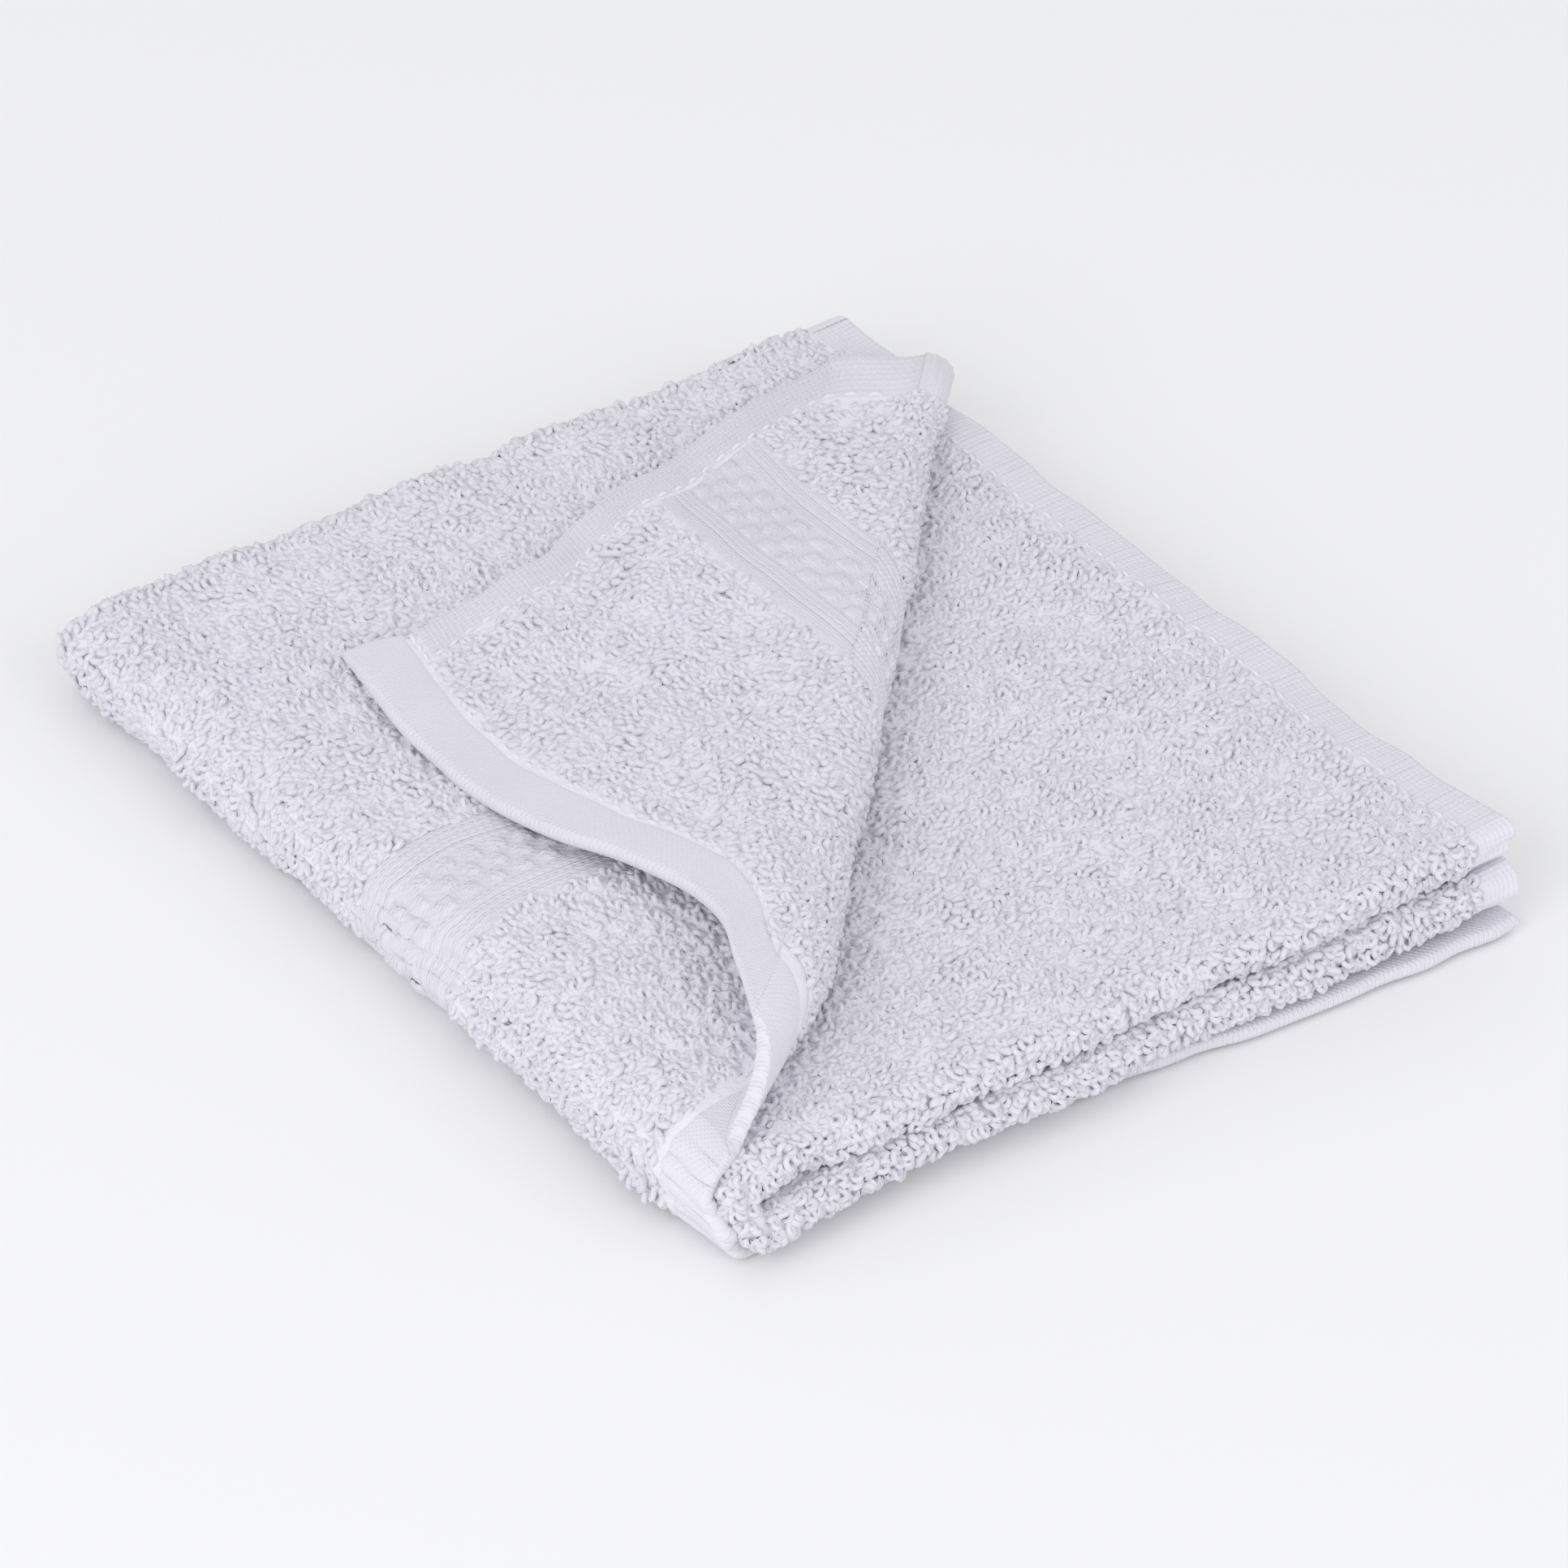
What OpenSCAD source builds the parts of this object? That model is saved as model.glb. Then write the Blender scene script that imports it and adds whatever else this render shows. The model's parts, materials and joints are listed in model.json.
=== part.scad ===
// Guest towel of white cotton terry, folded in three along its length and then in half,
// with the free corner of the top layer turned back over the stack.
// Millimetres. X runs from the half fold's spine to the side hems, Y from the front edge to
// the back edge, Z up. The origin is at the centre of the stack's footprint, on its underside.

/* [Cloth] */
// Length of the towel laid flat
towel_length = 500; // [450:5:600]
// Width of the towel laid flat
towel_width = 300; // [280:5:340]
// Thickness that one layer of terry takes up in the stack
layer = 2.8; // [2:0.1:3]
// Thickness of the doubled hems and of the flat woven border
hem_thickness = 2.0; // [1.4:0.1:2.0]

/* [Hems and border] */
// Width of the hem along each end
end_hem = 12; // [8:0.5:16]
// Width of the hem along each side
side_hem = 8; // [6:0.5:10]
// Distance from each end of the towel to its woven border
border_start = 61; // [50:1:64]
// Width of the woven border
border_width = 24; // [16:1:30]
// How far the hemmed ends lie inside the stack's edges
end_inset = 3; // [1:0.5:5]

/* [Turned corner] */
// Angle of the turned corner's fold line from the front edge
turn_angle = 44.5; // [42:0.5:47]
// Radius of the open roll at the turn, to the middle of the cloth, at the spine
roll_front = 5.7; // [4.5:0.1:6.5]
// The same radius at the side hems, where the roll is tighter
roll_back = 1.9; // [1.8:0.1:3]
// Distance from the fold line to the corner's tip
corner_reach = 78; // [70:1:84]
// Distance along the fold line from the spine to the tip
corner_along = 101; // [96:1:106]
// Downward slope of the turned corner towards its tip
corner_slope = 3.4; // [2:0.1:3.5]
// Thickness of the turned corner's terry
corner_thickness = 2.2; // [1.8:0.1:2.4]

/* [Stitching] */
// Length of one stitch
stitch_length = 2.2; // [1.5:0.1:3]
// Distance from one stitch to the next
stitch_pitch = 3.2; // [2.5:0.1:5]
// Width of the sewing thread
stitch_width = 0.6; // [0.3:0.1:0.8]
// Height of the sewing thread above the cloth
stitch_height = 0.3; // [0.1:0.05:0.35]

/* [Hidden] */
$fn = 96;

stack_width = towel_width / 2;
stack_length = towel_length / 3;
stack_height = 6 * layer;
// The half fold's spine is a set of half rings round this line
spine_x = 3 * layer;
spine_z = 3 * layer;
// Clearance on each side of the plane between the two halves, and beside the spine
half_gap = 0.15;
// Recess of the thinner hems and border below the terry's two faces
recess = (layer - hem_thickness) / 2;
hem_x = stack_width - side_hem;
crease_back = stack_length - layer;
crease_front = layer;

// Distances from the hemmed end of the towel, measured from the stack's front edge
hem_end = end_inset + end_hem;
border_from = end_inset + border_start;
border_to = border_from + border_width;

// The turned corner's fold line starts on the spine's line and falls towards the side hems
turn_y = 5;
turn_length = (stack_width - spine_x) / cos(turn_angle);
turn_tilt = atan((roll_front - roll_back) / turn_length);
top_middle = stack_height - layer / 2;
// The roll's outside stays just clear of the layer below it
roll_clearance = 0.1;
// Where the corner's end hem and side hem meet the fold line
hem_meets = corner_along - corner_reach / tan(turn_angle);
side_meets = corner_along + corner_reach * tan(turn_angle);
// Where the roll's cloth leaves the top panel, at the end hem and at the side hem
roll_start = 6;
roll_end = turn_length - 4;
// Gap left along the fold line beside the roll
fold_gap = 0.1;
far = 3 * stack_length;

terry_white = "white";
hem_white = "gainsboro";
border_white = "lavender";
thread_white = "silver";

// Puts the footprint's centre on the origin
module in_place() {
    translate([-stack_width / 2, -stack_length / 2, 0]) children();
}

// A flat piece of one layer; level 1 is the bottom layer and level 6 the top one.
// The two layers next to the middle plane are thinned by the clearance.
module cloth(level, x_from, x_to, y_from, y_to, inset = 0) {
    z_from = (level - 1) * layer + (level == 4 ? max(half_gap, inset) : inset);
    z_to = level * layer - (level == 3 ? max(half_gap, inset) : inset);
    x_start = level > 3 ? max(x_from, spine_x + half_gap) : x_from;
    in_place()
        translate([x_start, y_from, z_from])
            cube([x_to - x_start, y_to - y_from, z_to - z_from]);
}

// The rolled crease that joins two layers; direction is 1 at the back edge and -1 at the front
module crease(level, direction) {
    y = direction > 0 ? crease_back : crease_front;
    x_start = level > 3 ? spine_x + half_gap : spine_x;
    // Layers next to the middle plane stop at the clearance
    low = level == 4 ? half_gap : 0;
    high = level == 2 ? half_gap : 0;
    in_place()
        intersection() {
            translate([x_start, y, level * layer])
                rotate([0, 90, 0])
                    cylinder(h = stack_width - x_start, r = layer);
            translate([0, direction > 0 ? y : y - layer, (level - 1) * layer + low])
                cube([stack_width, layer, 2 * layer - low - high]);
        }
}

// Half a turn of a profile, given as radius and Y, round the spine's line
module round_spine() {
    in_place()
        translate([spine_x, 0, spine_z])
            rotate([-90, 0, 0])
                rotate([0, 0, 90])
                    rotate_extrude(angle = 180)
                        children();
}

module spine_ring(r_from, r_to, y_from, y_to) {
    round_spine()
        translate([r_from, y_from])
            square([r_to - r_from, y_to - y_from]);
}

// Half disc profile of a crease where it goes round the spine
module spine_crease(r, y, direction) {
    round_spine()
        intersection() {
            translate([r, y]) circle(r = layer);
            translate([r - layer, direction > 0 ? y : y - layer]) square([2 * layer, layer]);
        }
}

// Level frame of the turned corner: X along the fold line, Y across it, Z up from the table
module at_turn() {
    in_place()
        translate([spine_x, turn_y, 0])
            rotate([0, 0, turn_angle])
                children();
}

// Frame of the hinge line inside the roll, in the level frame
module at_hinge() {
    translate([0, 0, top_middle + roll_front])
        rotate([0, turn_tilt, 0])
            children();
}

// Turns what lies flat on the stack in the level frame back over the hinge line
module turned_back() {
    at_turn()
        at_hinge()
            rotate([-180 - corner_slope, 0, 0])
                rotate([0, -turn_tilt, 0])
                    translate([0, 0, -top_middle - roll_front])
                        children();
}

// Keeps what lies on the spine's side of the fold line
module beside_turn() {
    intersection() {
        children();
        at_turn() translate([-far / 2, 0, 0]) cube([far, far, stack_height]);
    }
}

// Frame on the flat corner's tip: X back along the end hem, Y back along the side hem,
// Z down through the cloth from its middle
module at_tip() {
    translate([corner_along, -corner_reach, top_middle])
        rotate([180, 0, 180 - turn_angle])
            children();
}

// A piece of the turned corner, with its outline given in the tip's frame
module corner_cloth(x_from, x_to, y_from, y_to, thickness) {
    turned_back()
        intersection() {
            at_tip()
                translate([x_from, y_from, -thickness / 2])
                    cube([x_to - x_from, y_to - y_from, thickness]);
            translate([-far, -2 * far - fold_gap, 0]) cube([3 * far, 2 * far, stack_height]);
        }
}

// Places children at the stitches of a row of this length, along X
module stitch_row(length) {
    count = floor(length / stitch_pitch);
    for (i = [0:count - 1])
        translate([(i + 0.5) * length / count, 0, 0])
            children();
}

module stitch() {
    translate([-stitch_length / 2, -stitch_width / 2, 0])
        cube([stitch_length, stitch_width, stitch_height]);
}

// ---- Lower half: layers 1, 2 and 3 ----

module bottom_end_hem() {
    color(hem_white) cloth(1, spine_x, stack_width, end_inset, hem_end, recess);
}

module bottom_end_terry() {
    color(terry_white) cloth(1, spine_x, hem_x, hem_end, border_from);
}

module bottom_border() {
    color(border_white) cloth(1, spine_x, hem_x, border_from, border_to, recess);
}

module bottom_panel() {
    color(terry_white) cloth(1, spine_x, hem_x, border_to, crease_back);
}

module bottom_side_hem() {
    color(hem_white) cloth(1, hem_x, stack_width, hem_end, crease_back, recess);
}

module bottom_hem_stitching() {
    color(thread_white)
        in_place()
            translate([spine_x, hem_end - 1.5, recess - stitch_height])
                stitch_row(hem_x - spine_x) stitch();
}

module lower_back_fold() {
    color(terry_white) crease(1, 1);
}

module lower_middle_panel() {
    color(terry_white) cloth(2, spine_x, hem_x, crease_front, crease_back);
}

module lower_middle_side_hem() {
    color(hem_white) cloth(2, hem_x, stack_width, crease_front, crease_back, recess);
}

module lower_front_fold() {
    color(terry_white) crease(2, -1);
}

module lower_inner_panel() {
    color(terry_white) cloth(3, spine_x, hem_x, crease_front, stack_length - border_to);
}

module lower_inner_border() {
    color(border_white)
        cloth(3, spine_x, hem_x, stack_length - border_to, stack_length - border_from, recess);
}

module lower_inner_end_terry() {
    color(terry_white)
        cloth(3, spine_x, hem_x, stack_length - border_from, stack_length - hem_end);
}

module lower_inner_end_hem() {
    color(hem_white)
        cloth(3, spine_x, stack_width, stack_length - hem_end, stack_length - end_inset, recess);
}

module lower_inner_side_hem() {
    color(hem_white)
        cloth(3, hem_x, stack_width, crease_front, stack_length - hem_end, recess);
}

// ---- Upper half: layers 4, 5 and 6 ----

module upper_inner_panel() {
    color(terry_white) cloth(4, spine_x, hem_x, crease_front, stack_length - border_to);
}

module upper_inner_border() {
    color(border_white)
        cloth(4, spine_x, hem_x, stack_length - border_to, stack_length - border_from, recess);
}

module upper_inner_end_terry() {
    color(terry_white)
        cloth(4, spine_x, hem_x, stack_length - border_from, stack_length - hem_end);
}

module upper_inner_end_hem() {
    color(hem_white)
        cloth(4, spine_x, stack_width, stack_length - hem_end, stack_length - end_inset, recess);
}

module upper_inner_side_hem() {
    color(hem_white)
        cloth(4, hem_x, stack_width, crease_front, stack_length - hem_end, recess);
}

module upper_front_fold() {
    color(terry_white) crease(4, -1);
}

module upper_middle_panel() {
    color(terry_white) cloth(5, spine_x, hem_x, crease_front, crease_back);
}

module upper_middle_side_hem() {
    color(hem_white) cloth(5, hem_x, stack_width, crease_front, crease_back, recess);
}

module upper_side_stitching() {
    color(thread_white)
        in_place()
            translate([hem_x + 1.5, crease_front, 5 * layer - recess])
                rotate([0, 0, 90])
                    stitch_row(crease_back - crease_front) stitch();
}

module upper_back_fold() {
    color(terry_white) crease(5, 1);
}

module top_panel() {
    color(terry_white) beside_turn() cloth(6, spine_x, hem_x, border_to, crease_back);
}

module top_border() {
    color(border_white)
        beside_turn() cloth(6, spine_x, hem_x, border_from, border_to, recess);
}

module top_end_terry() {
    color(terry_white) beside_turn() cloth(6, spine_x, hem_x, hem_end, border_from);
}

module top_end_hem() {
    color(hem_white) beside_turn() cloth(6, spine_x, hem_x, end_inset, hem_end, recess);
}

module top_side_hem() {
    color(hem_white)
        beside_turn() cloth(6, hem_x, stack_width, border_to, crease_back, recess);
}

// ---- Spine of the half fold ----

module outer_spine() {
    color(terry_white) spine_ring(2 * layer, 3 * layer, border_to, crease_back);
}

module outer_spine_border() {
    color(border_white)
        spine_ring(2 * layer + recess, 3 * layer - recess, border_from, border_to);
}

module outer_spine_end_terry() {
    color(terry_white) spine_ring(2 * layer, 3 * layer, hem_end, border_from);
}

module outer_spine_end_hem() {
    color(hem_white)
        spine_ring(2 * layer + recess, 3 * layer - recess, end_inset, hem_end);
}

module middle_spine() {
    color(terry_white) spine_ring(layer, 2 * layer, crease_front, crease_back);
}

module inner_spine() {
    color(terry_white) spine_ring(0, layer, crease_front, stack_length - end_inset);
}

module spine_front_turn() {
    color(terry_white) spine_crease(layer, crease_front, -1);
}

module spine_back_turn() {
    color(terry_white) spine_crease(2 * layer, crease_back, 1);
}

// ---- Turned corner ----

module corner_roll() {
    outside = layer / 2 - roll_clearance;
    color(terry_white)
        at_turn()
            intersection() {
                at_hinge()
                    rotate([0, 90, 0])
                        difference() {
                            cylinder(
                                h = turn_length,
                                r1 = roll_front + outside, r2 = roll_back + outside
                            );
                            cylinder(
                                h = turn_length,
                                r1 = roll_front - layer / 2, r2 = roll_back - layer / 2
                            );
                        }
                // The hemmed edges climb the roll at a slant
                rotate([90, 0, 0])
                    linear_extrude(far)
                        polygon([
                            [roll_start, 0], [roll_start, top_middle],
                            [hem_meets, top_middle + 2 * roll_front], [hem_meets, far],
                            [side_meets, far], [side_meets, top_middle + 2 * roll_back],
                            [roll_end, top_middle], [roll_end, 0]
                        ]);
            }
}

module corner_panel() {
    color(terry_white)
        corner_cloth(side_hem, far, border_start + border_width, far, corner_thickness);
}

module corner_border() {
    color(border_white)
        corner_cloth(side_hem, far, border_start, border_start + border_width, hem_thickness);
}

module corner_end_terry() {
    color(terry_white)
        corner_cloth(side_hem, far, end_hem, border_start, corner_thickness);
}

module corner_end_hem() {
    color(hem_white) corner_cloth(0, far, 0, end_hem, hem_thickness);
}

module corner_side_hem() {
    color(hem_white) corner_cloth(0, side_hem, end_hem, far, hem_thickness);
}

// Rows of thread on the face of the corner that is up when it is turned back
module on_corner() {
    turned_back()
        at_tip()
            translate([0, 0, hem_thickness / 2])
                children();
}

module corner_end_stitching() {
    row = corner_reach / sin(turn_angle) - side_hem - end_hem;
    color(thread_white)
        on_corner()
            translate([side_hem, end_hem - 1.5, 0])
                stitch_row(row) stitch();
}

module corner_side_stitching() {
    row = corner_reach / cos(turn_angle) - side_hem - end_hem;
    color(thread_white)
        on_corner()
            translate([side_hem - 1.5, end_hem, 0])
                rotate([0, 0, 90])
                    stitch_row(row) stitch();
}

// The side hem is tucked under the end hem and held by a short row across it
module corner_cross_stitch() {
    color(thread_white)
        on_corner()
            translate([0.5, end_hem - 1.5, 0])
                stitch_row(side_hem - 1) stitch();
}

bottom_end_hem();
bottom_end_terry();
bottom_border();
bottom_panel();
bottom_side_hem();
bottom_hem_stitching();
lower_back_fold();
lower_middle_panel();
lower_middle_side_hem();
lower_front_fold();
lower_inner_panel();
lower_inner_border();
lower_inner_end_terry();
lower_inner_end_hem();
lower_inner_side_hem();
upper_inner_panel();
upper_inner_border();
upper_inner_end_terry();
upper_inner_end_hem();
upper_inner_side_hem();
upper_front_fold();
upper_middle_panel();
upper_middle_side_hem();
upper_side_stitching();
upper_back_fold();
top_panel();
top_border();
top_end_terry();
top_end_hem();
top_side_hem();
outer_spine();
outer_spine_border();
outer_spine_end_terry();
outer_spine_end_hem();
middle_spine();
inner_spine();
spine_front_turn();
spine_back_turn();
corner_roll();
corner_panel();
corner_border();
corner_end_terry();
corner_end_hem();
corner_side_hem();
corner_end_stitching();
corner_side_stitching();
corner_cross_stitch();
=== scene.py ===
import json
import math

import bpy
import numpy as np
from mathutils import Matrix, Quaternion, Vector


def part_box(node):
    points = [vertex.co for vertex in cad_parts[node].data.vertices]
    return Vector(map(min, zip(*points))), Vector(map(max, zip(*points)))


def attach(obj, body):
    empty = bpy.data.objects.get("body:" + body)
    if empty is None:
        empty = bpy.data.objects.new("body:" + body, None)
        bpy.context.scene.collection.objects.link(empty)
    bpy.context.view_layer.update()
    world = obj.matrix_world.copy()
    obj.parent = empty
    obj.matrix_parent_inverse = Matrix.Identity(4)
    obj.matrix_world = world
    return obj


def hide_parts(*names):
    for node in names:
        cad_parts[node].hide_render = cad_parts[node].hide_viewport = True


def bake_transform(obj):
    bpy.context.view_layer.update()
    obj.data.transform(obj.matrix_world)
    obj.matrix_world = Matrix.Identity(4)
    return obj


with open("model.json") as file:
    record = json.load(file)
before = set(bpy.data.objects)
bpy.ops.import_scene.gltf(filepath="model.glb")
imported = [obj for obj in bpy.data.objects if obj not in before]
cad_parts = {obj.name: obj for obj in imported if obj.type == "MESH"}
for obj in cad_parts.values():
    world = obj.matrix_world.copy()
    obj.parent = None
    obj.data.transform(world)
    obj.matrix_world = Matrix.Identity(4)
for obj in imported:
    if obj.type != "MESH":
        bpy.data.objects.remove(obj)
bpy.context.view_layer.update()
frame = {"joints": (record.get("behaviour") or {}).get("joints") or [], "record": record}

# A folded terry guest towel. Lengths below are millimetres, measured from the stack's
# corner at the spine's outer face, the front edge and the table: x away from the spine,
# y towards the back, z up. s is the way along the towel from its outer end hem.
MM = 0.001
ORIGIN = np.array([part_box("outer_spine")[0].x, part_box("lower_front_fold")[0].y, 0.0]) / MM


def corners(node):
    """Lowest and highest corner of a CAD node."""
    return [np.array(corner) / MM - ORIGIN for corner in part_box(node)]


panel_low, panel_high = corners("bottom_panel")
LAYER = panel_high[2] - panel_low[2]
SPINE = panel_low[0]
MIDDLE = 3 * LAYER
WIDTH = corners("bottom_side_hem")[1][0]
DEPTH = corners("lower_back_fold")[1][1]
SIDE_HEM = corners("bottom_side_hem")[0][0]
SIDE_HEM_WIDTH = WIDTH - SIDE_HEM
HEM_FRONT = corners("bottom_end_hem")[0][1]
END_HEM = corners("bottom_end_hem")[1][1] - HEM_FRONT
BORDER_START = corners("bottom_border")[0][1] - HEM_FRONT
BORDER_END = corners("bottom_border")[1][1] - HEM_FRONT
TOP_MIDDLE = 5.5 * LAYER

# The way along the towel: panel, crease at the back, panel, crease at the front, panel
CREASE = LAYER / 2
CREASE_BACK = DEPTH - LAYER
CREASE_FRONT = LAYER
BACK_CREASE = CREASE_BACK - HEM_FRONT
MIDDLE_PANEL = BACK_CREASE + math.pi * CREASE
FRONT_CREASE = MIDDLE_PANEL + CREASE_BACK - CREASE_FRONT
INNER_PANEL = FRONT_CREASE + math.pi * CREASE
TOWEL_END = INNER_PANEL + DEPTH - HEM_FRONT - CREASE_FRONT
INNER_BORDER = TOWEL_END - BORDER_END
INNER_BORDER_END = TOWEL_END - BORDER_START
INNER_HEM = TOWEL_END - END_HEM
# How far in from its edge an end hem is sewn down
HEM_STITCHES = END_HEM - 1.5

# The turned corner's fold line, from the joint: its start, its direction and its radius
joints = {joint["name"]: joint for joint in frame["joints"]}
FOLD_AT = np.array(joints["corner_turn"]["pos_m"]) / MM - ORIGIN
FOLD_AXIS = np.array(joints["corner_turn"]["axis"])
FOLD_RUN = float(np.hypot(FOLD_AXIS[0], FOLD_AXIS[1]))
ALONG = FOLD_AXIS[:2] / FOLD_RUN
ACROSS = np.array([-ALONG[1], ALONG[0]])
# Places in the fold's frame: the turned corner's tip, and where its two edges meet the fold
TIP = np.array([102.3, 77.0])
HEM_AT_FOLD = np.array([15.4, 0.0])
SIDE_AT_FOLD = np.array([196.5, 0.0])
SIDE_EDGE = float(np.linalg.norm(SIDE_AT_FOLD - TIP))
HEM_EDGE = float(np.linalg.norm(HEM_AT_FOLD - TIP))
ALONG_SIDE = (SIDE_AT_FOLD - TIP) / SIDE_EDGE
ALONG_HEM = (HEM_AT_FOLD - TIP) / HEM_EDGE
# How far above the layer below it the turned corner lies, and where its border starts and ends
CORNER_CLEARANCE = 3.4
CORNER_BORDER = 62.0
CORNER_PANEL = CORNER_BORDER + BORDER_END - BORDER_START
# The hinge line follows the puffed-up stack. It lies this far above the middle of the flat
# stack's roll where the fold starts, and this much less for each millimetre along the fold.
HINGE_RISE = 2.6
HINGE_FALL = 0.0126

# Half thickness of the cloth under the loops, and of the hems
GROUND = 1.1
HEM = 1.25
# How far neighbouring pieces of the same cloth overlap, and how far its hems reach past it
SEAM = 0.7
EDGE = 1.5
# How close the loops stand, on the whole, on the front creases and inside the stack
LOOP_SPACING = 1.4
CREASE_SPACING = 1.35
HIDDEN_SPACING = 1.8
# How deep a loop's foot sits in the cloth, and half its yarn's thickness from least to most
LOOP_DEPTH = 0.62
YARN_RADIUS = (0.5, 0.62)
LOOPS_PER_PIECE = 4100
# The height of sewn stitches in their groove, their arch and half their thread's thickness
SEWN = HEM - 0.3
STITCH_ARCH = np.array([-0.45, 0.0, 0.14, 0.18, 0.14, 0.0, -0.45])
STITCH_RADIUS = np.array([0.14, 0.27, 0.33, 0.35, 0.33, 0.27, 0.14])


def smooth(t):
    t = np.clip(t, 0.0, 1.0)
    return t * t * (3 - 2 * t)


def ripples(a, b, wavelength, seed):
    """A smooth uneven field between about -1 and 1, from a few waves in seeded directions."""
    chance = np.random.default_rng(seed)
    total = 0.0
    for _ in range(6):
        angle = chance.uniform(0, math.tau)
        length = wavelength * chance.uniform(0.7, 1.5)
        way = (np.cos(angle) * a + np.sin(angle) * b) / length
        total = total + np.sin(math.tau * way + chance.uniform(0, math.tau))
    return total / 3.0


# ---- Where the cloth lies ----

def puff(x, y):
    """How thick the loosely stacked layers lie, against the flat stack."""
    across = np.clip(x / WIDTH, 0, 1)
    back = np.clip(y / DEPTH, 0, 1)
    front_height = 1.12 + 0.15 * across
    back_height = 0.80 + 0.08 * across
    bump = 0.17 * np.exp(-(((x - 24) / 24) ** 2) - ((y - 58) / 32) ** 2)
    uneven = 0.025 * ripples(x, y, 34, 3) + 0.015 * ripples(x, y, 15, 4)
    return front_height + (back_height - front_height) * back + bump + uneven


def settle(x, y, z):
    """Moves a point of the flat stack to where the real, loosely folded towel has it."""
    level = z / LAYER
    bottom_layer = np.exp(-(((level - 0.5) / 0.7) ** 2))
    lower_roll = np.exp(-(((level - 2.0) / 0.8) ** 2))
    at_front = 1 - smooth(y / 22)
    to_right = smooth((x - 50) / 70)
    at_spine = np.exp(-((x / 26) ** 2))
    near_corner = np.exp(-(((x - 13) / 6) ** 2) - (y / 8) ** 2)
    opening = 1.3 * near_corner * np.tanh((z - MIDDLE) / 2.0) * np.minimum(z / MIDDLE, 1)
    gap = 1.1 * at_front * smooth((x - 85) / 50) * smooth((level - 0.8) / 0.5)
    raised = z * puff(x, y) + opening + gap
    at_fold_start = smooth(x / 13) * (1 - smooth((x - 16) / 20)) * (1 - smooth(y / 20))
    drawn_in = 5.0 * at_fold_start * smooth((level - 4) / 1.2)
    moved_x = x - drawn_in + 0.8 * ripples(y, 4 * z, 38, 5) + 0.35 * ripples(y, 5 * z, 13, 6)
    moved_y = y + 0.6 * ripples(x, 4 * z, 42, 7) + 0.35 * ripples(x, 5 * z, 14, 8)
    lower_half = 1 - smooth((level - 2.5) / 2)
    forward = 6.0 * bottom_layer * to_right + 1.4 * lower_roll + 3.8 * lower_half * at_spine
    return np.stack([moved_x, moved_y - at_front * forward, raised], axis=-1)


def squarer(value):
    """A sine or cosine with its shoulders filled out, so that a crease is full and not pointed."""
    return np.sign(value) * np.abs(value) ** 0.72


def profile(s):
    """Place from front to back and distance from the middle plane, of cloth s along the towel."""
    back_turn = np.clip((s - BACK_CREASE) / CREASE, 0, math.pi)
    front_turn = np.clip((s - FRONT_CREASE) / CREASE, 0, math.pi)
    y = (
        HEM_FRONT + np.minimum(s, BACK_CREASE) + CREASE * squarer(np.sin(back_turn))
        - np.clip(s - MIDDLE_PANEL, 0, FRONT_CREASE - MIDDLE_PANEL)
        - CREASE * squarer(np.sin(front_turn))
        + np.maximum(s - INNER_PANEL, 0)
    )
    distance = CREASE * (3 + squarer(np.cos(back_turn)) + squarer(np.cos(front_turn)))
    return y, distance


def on_half(side):
    """Middle of the cloth of the lower (-1) or upper (1) half, by x and s."""
    def middle(x, s):
        y, distance = profile(s)
        return settle(x, y, MIDDLE + side * distance)
    return facing(middle, side)


def on_spine(turn, s):
    """Middle of the cloth round the spine; turn goes from -1 below to 1 above."""
    y, distance = profile(s)
    angle = turn * math.pi / 2
    x = SPINE - distance * np.cos(angle)
    return settle(x, y, MIDDLE + distance * np.sin(angle))


def from_fold(along, across):
    """Stack x and y of a place in the fold line's frame."""
    x = FOLD_AT[0] + along * ALONG[0] + across * ACROSS[0]
    y = FOLD_AT[1] + along * ALONG[1] + across * ACROSS[1]
    return x, y


def fold_x(y):
    """Where the fold line crosses this y."""
    return FOLD_AT[0] + (y - FOLD_AT[1]) * ALONG[0] / ALONG[1]


def fold_y(x):
    """Where the fold line crosses this x."""
    return FOLD_AT[1] + (x - FOLD_AT[0]) * ALONG[1] / ALONG[0]


def turn_radius(along):
    """Radius of the roll to the middle of its cloth; it tightens away from the spine."""
    start = FOLD_AT[2] - HINGE_RISE - TOP_MIDDLE
    radius = start + along * (FOLD_AXIS[2] / FOLD_RUN + HINGE_FALL)
    return np.maximum(radius, 2.2) * (1 + 0.04 * ripples(along, 0, 40, 9))


def side_bow(a, b, across):
    """How far the turned corner's side edge bows backwards, at a place in from its edges."""
    bow = 12 * smooth((a - 15) / 75) * (0.3 + 0.7 * smooth(across / 9)) - 2.7 * smooth(a / 12)
    return bow * (1 - smooth(b / 75))


def on_roll(along, turn):
    """Middle of the roll's cloth; turn goes from 0 at the top layer to 1 at the turned corner."""
    angle = (turn - 0.5) * math.pi
    radius = turn_radius(along)
    fullness = 0.6 + 0.65 * smooth((along - 2) / 45)
    x, y = from_fold(along, -radius * fullness * np.cos(angle))
    place = settle(x, y, TOP_MIDDLE)
    at_end = (along - HEM_AT_FOLD[0]) / (SIDE_AT_FOLD[0] - HEM_AT_FOLD[0])
    place[..., 1] += side_bow(SIDE_EDGE * at_end, HEM_EDGE * (1 - at_end), 0 * at_end) * smooth(turn)
    place[..., 2] += radius * (1 + np.sin(angle))
    return place


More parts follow.
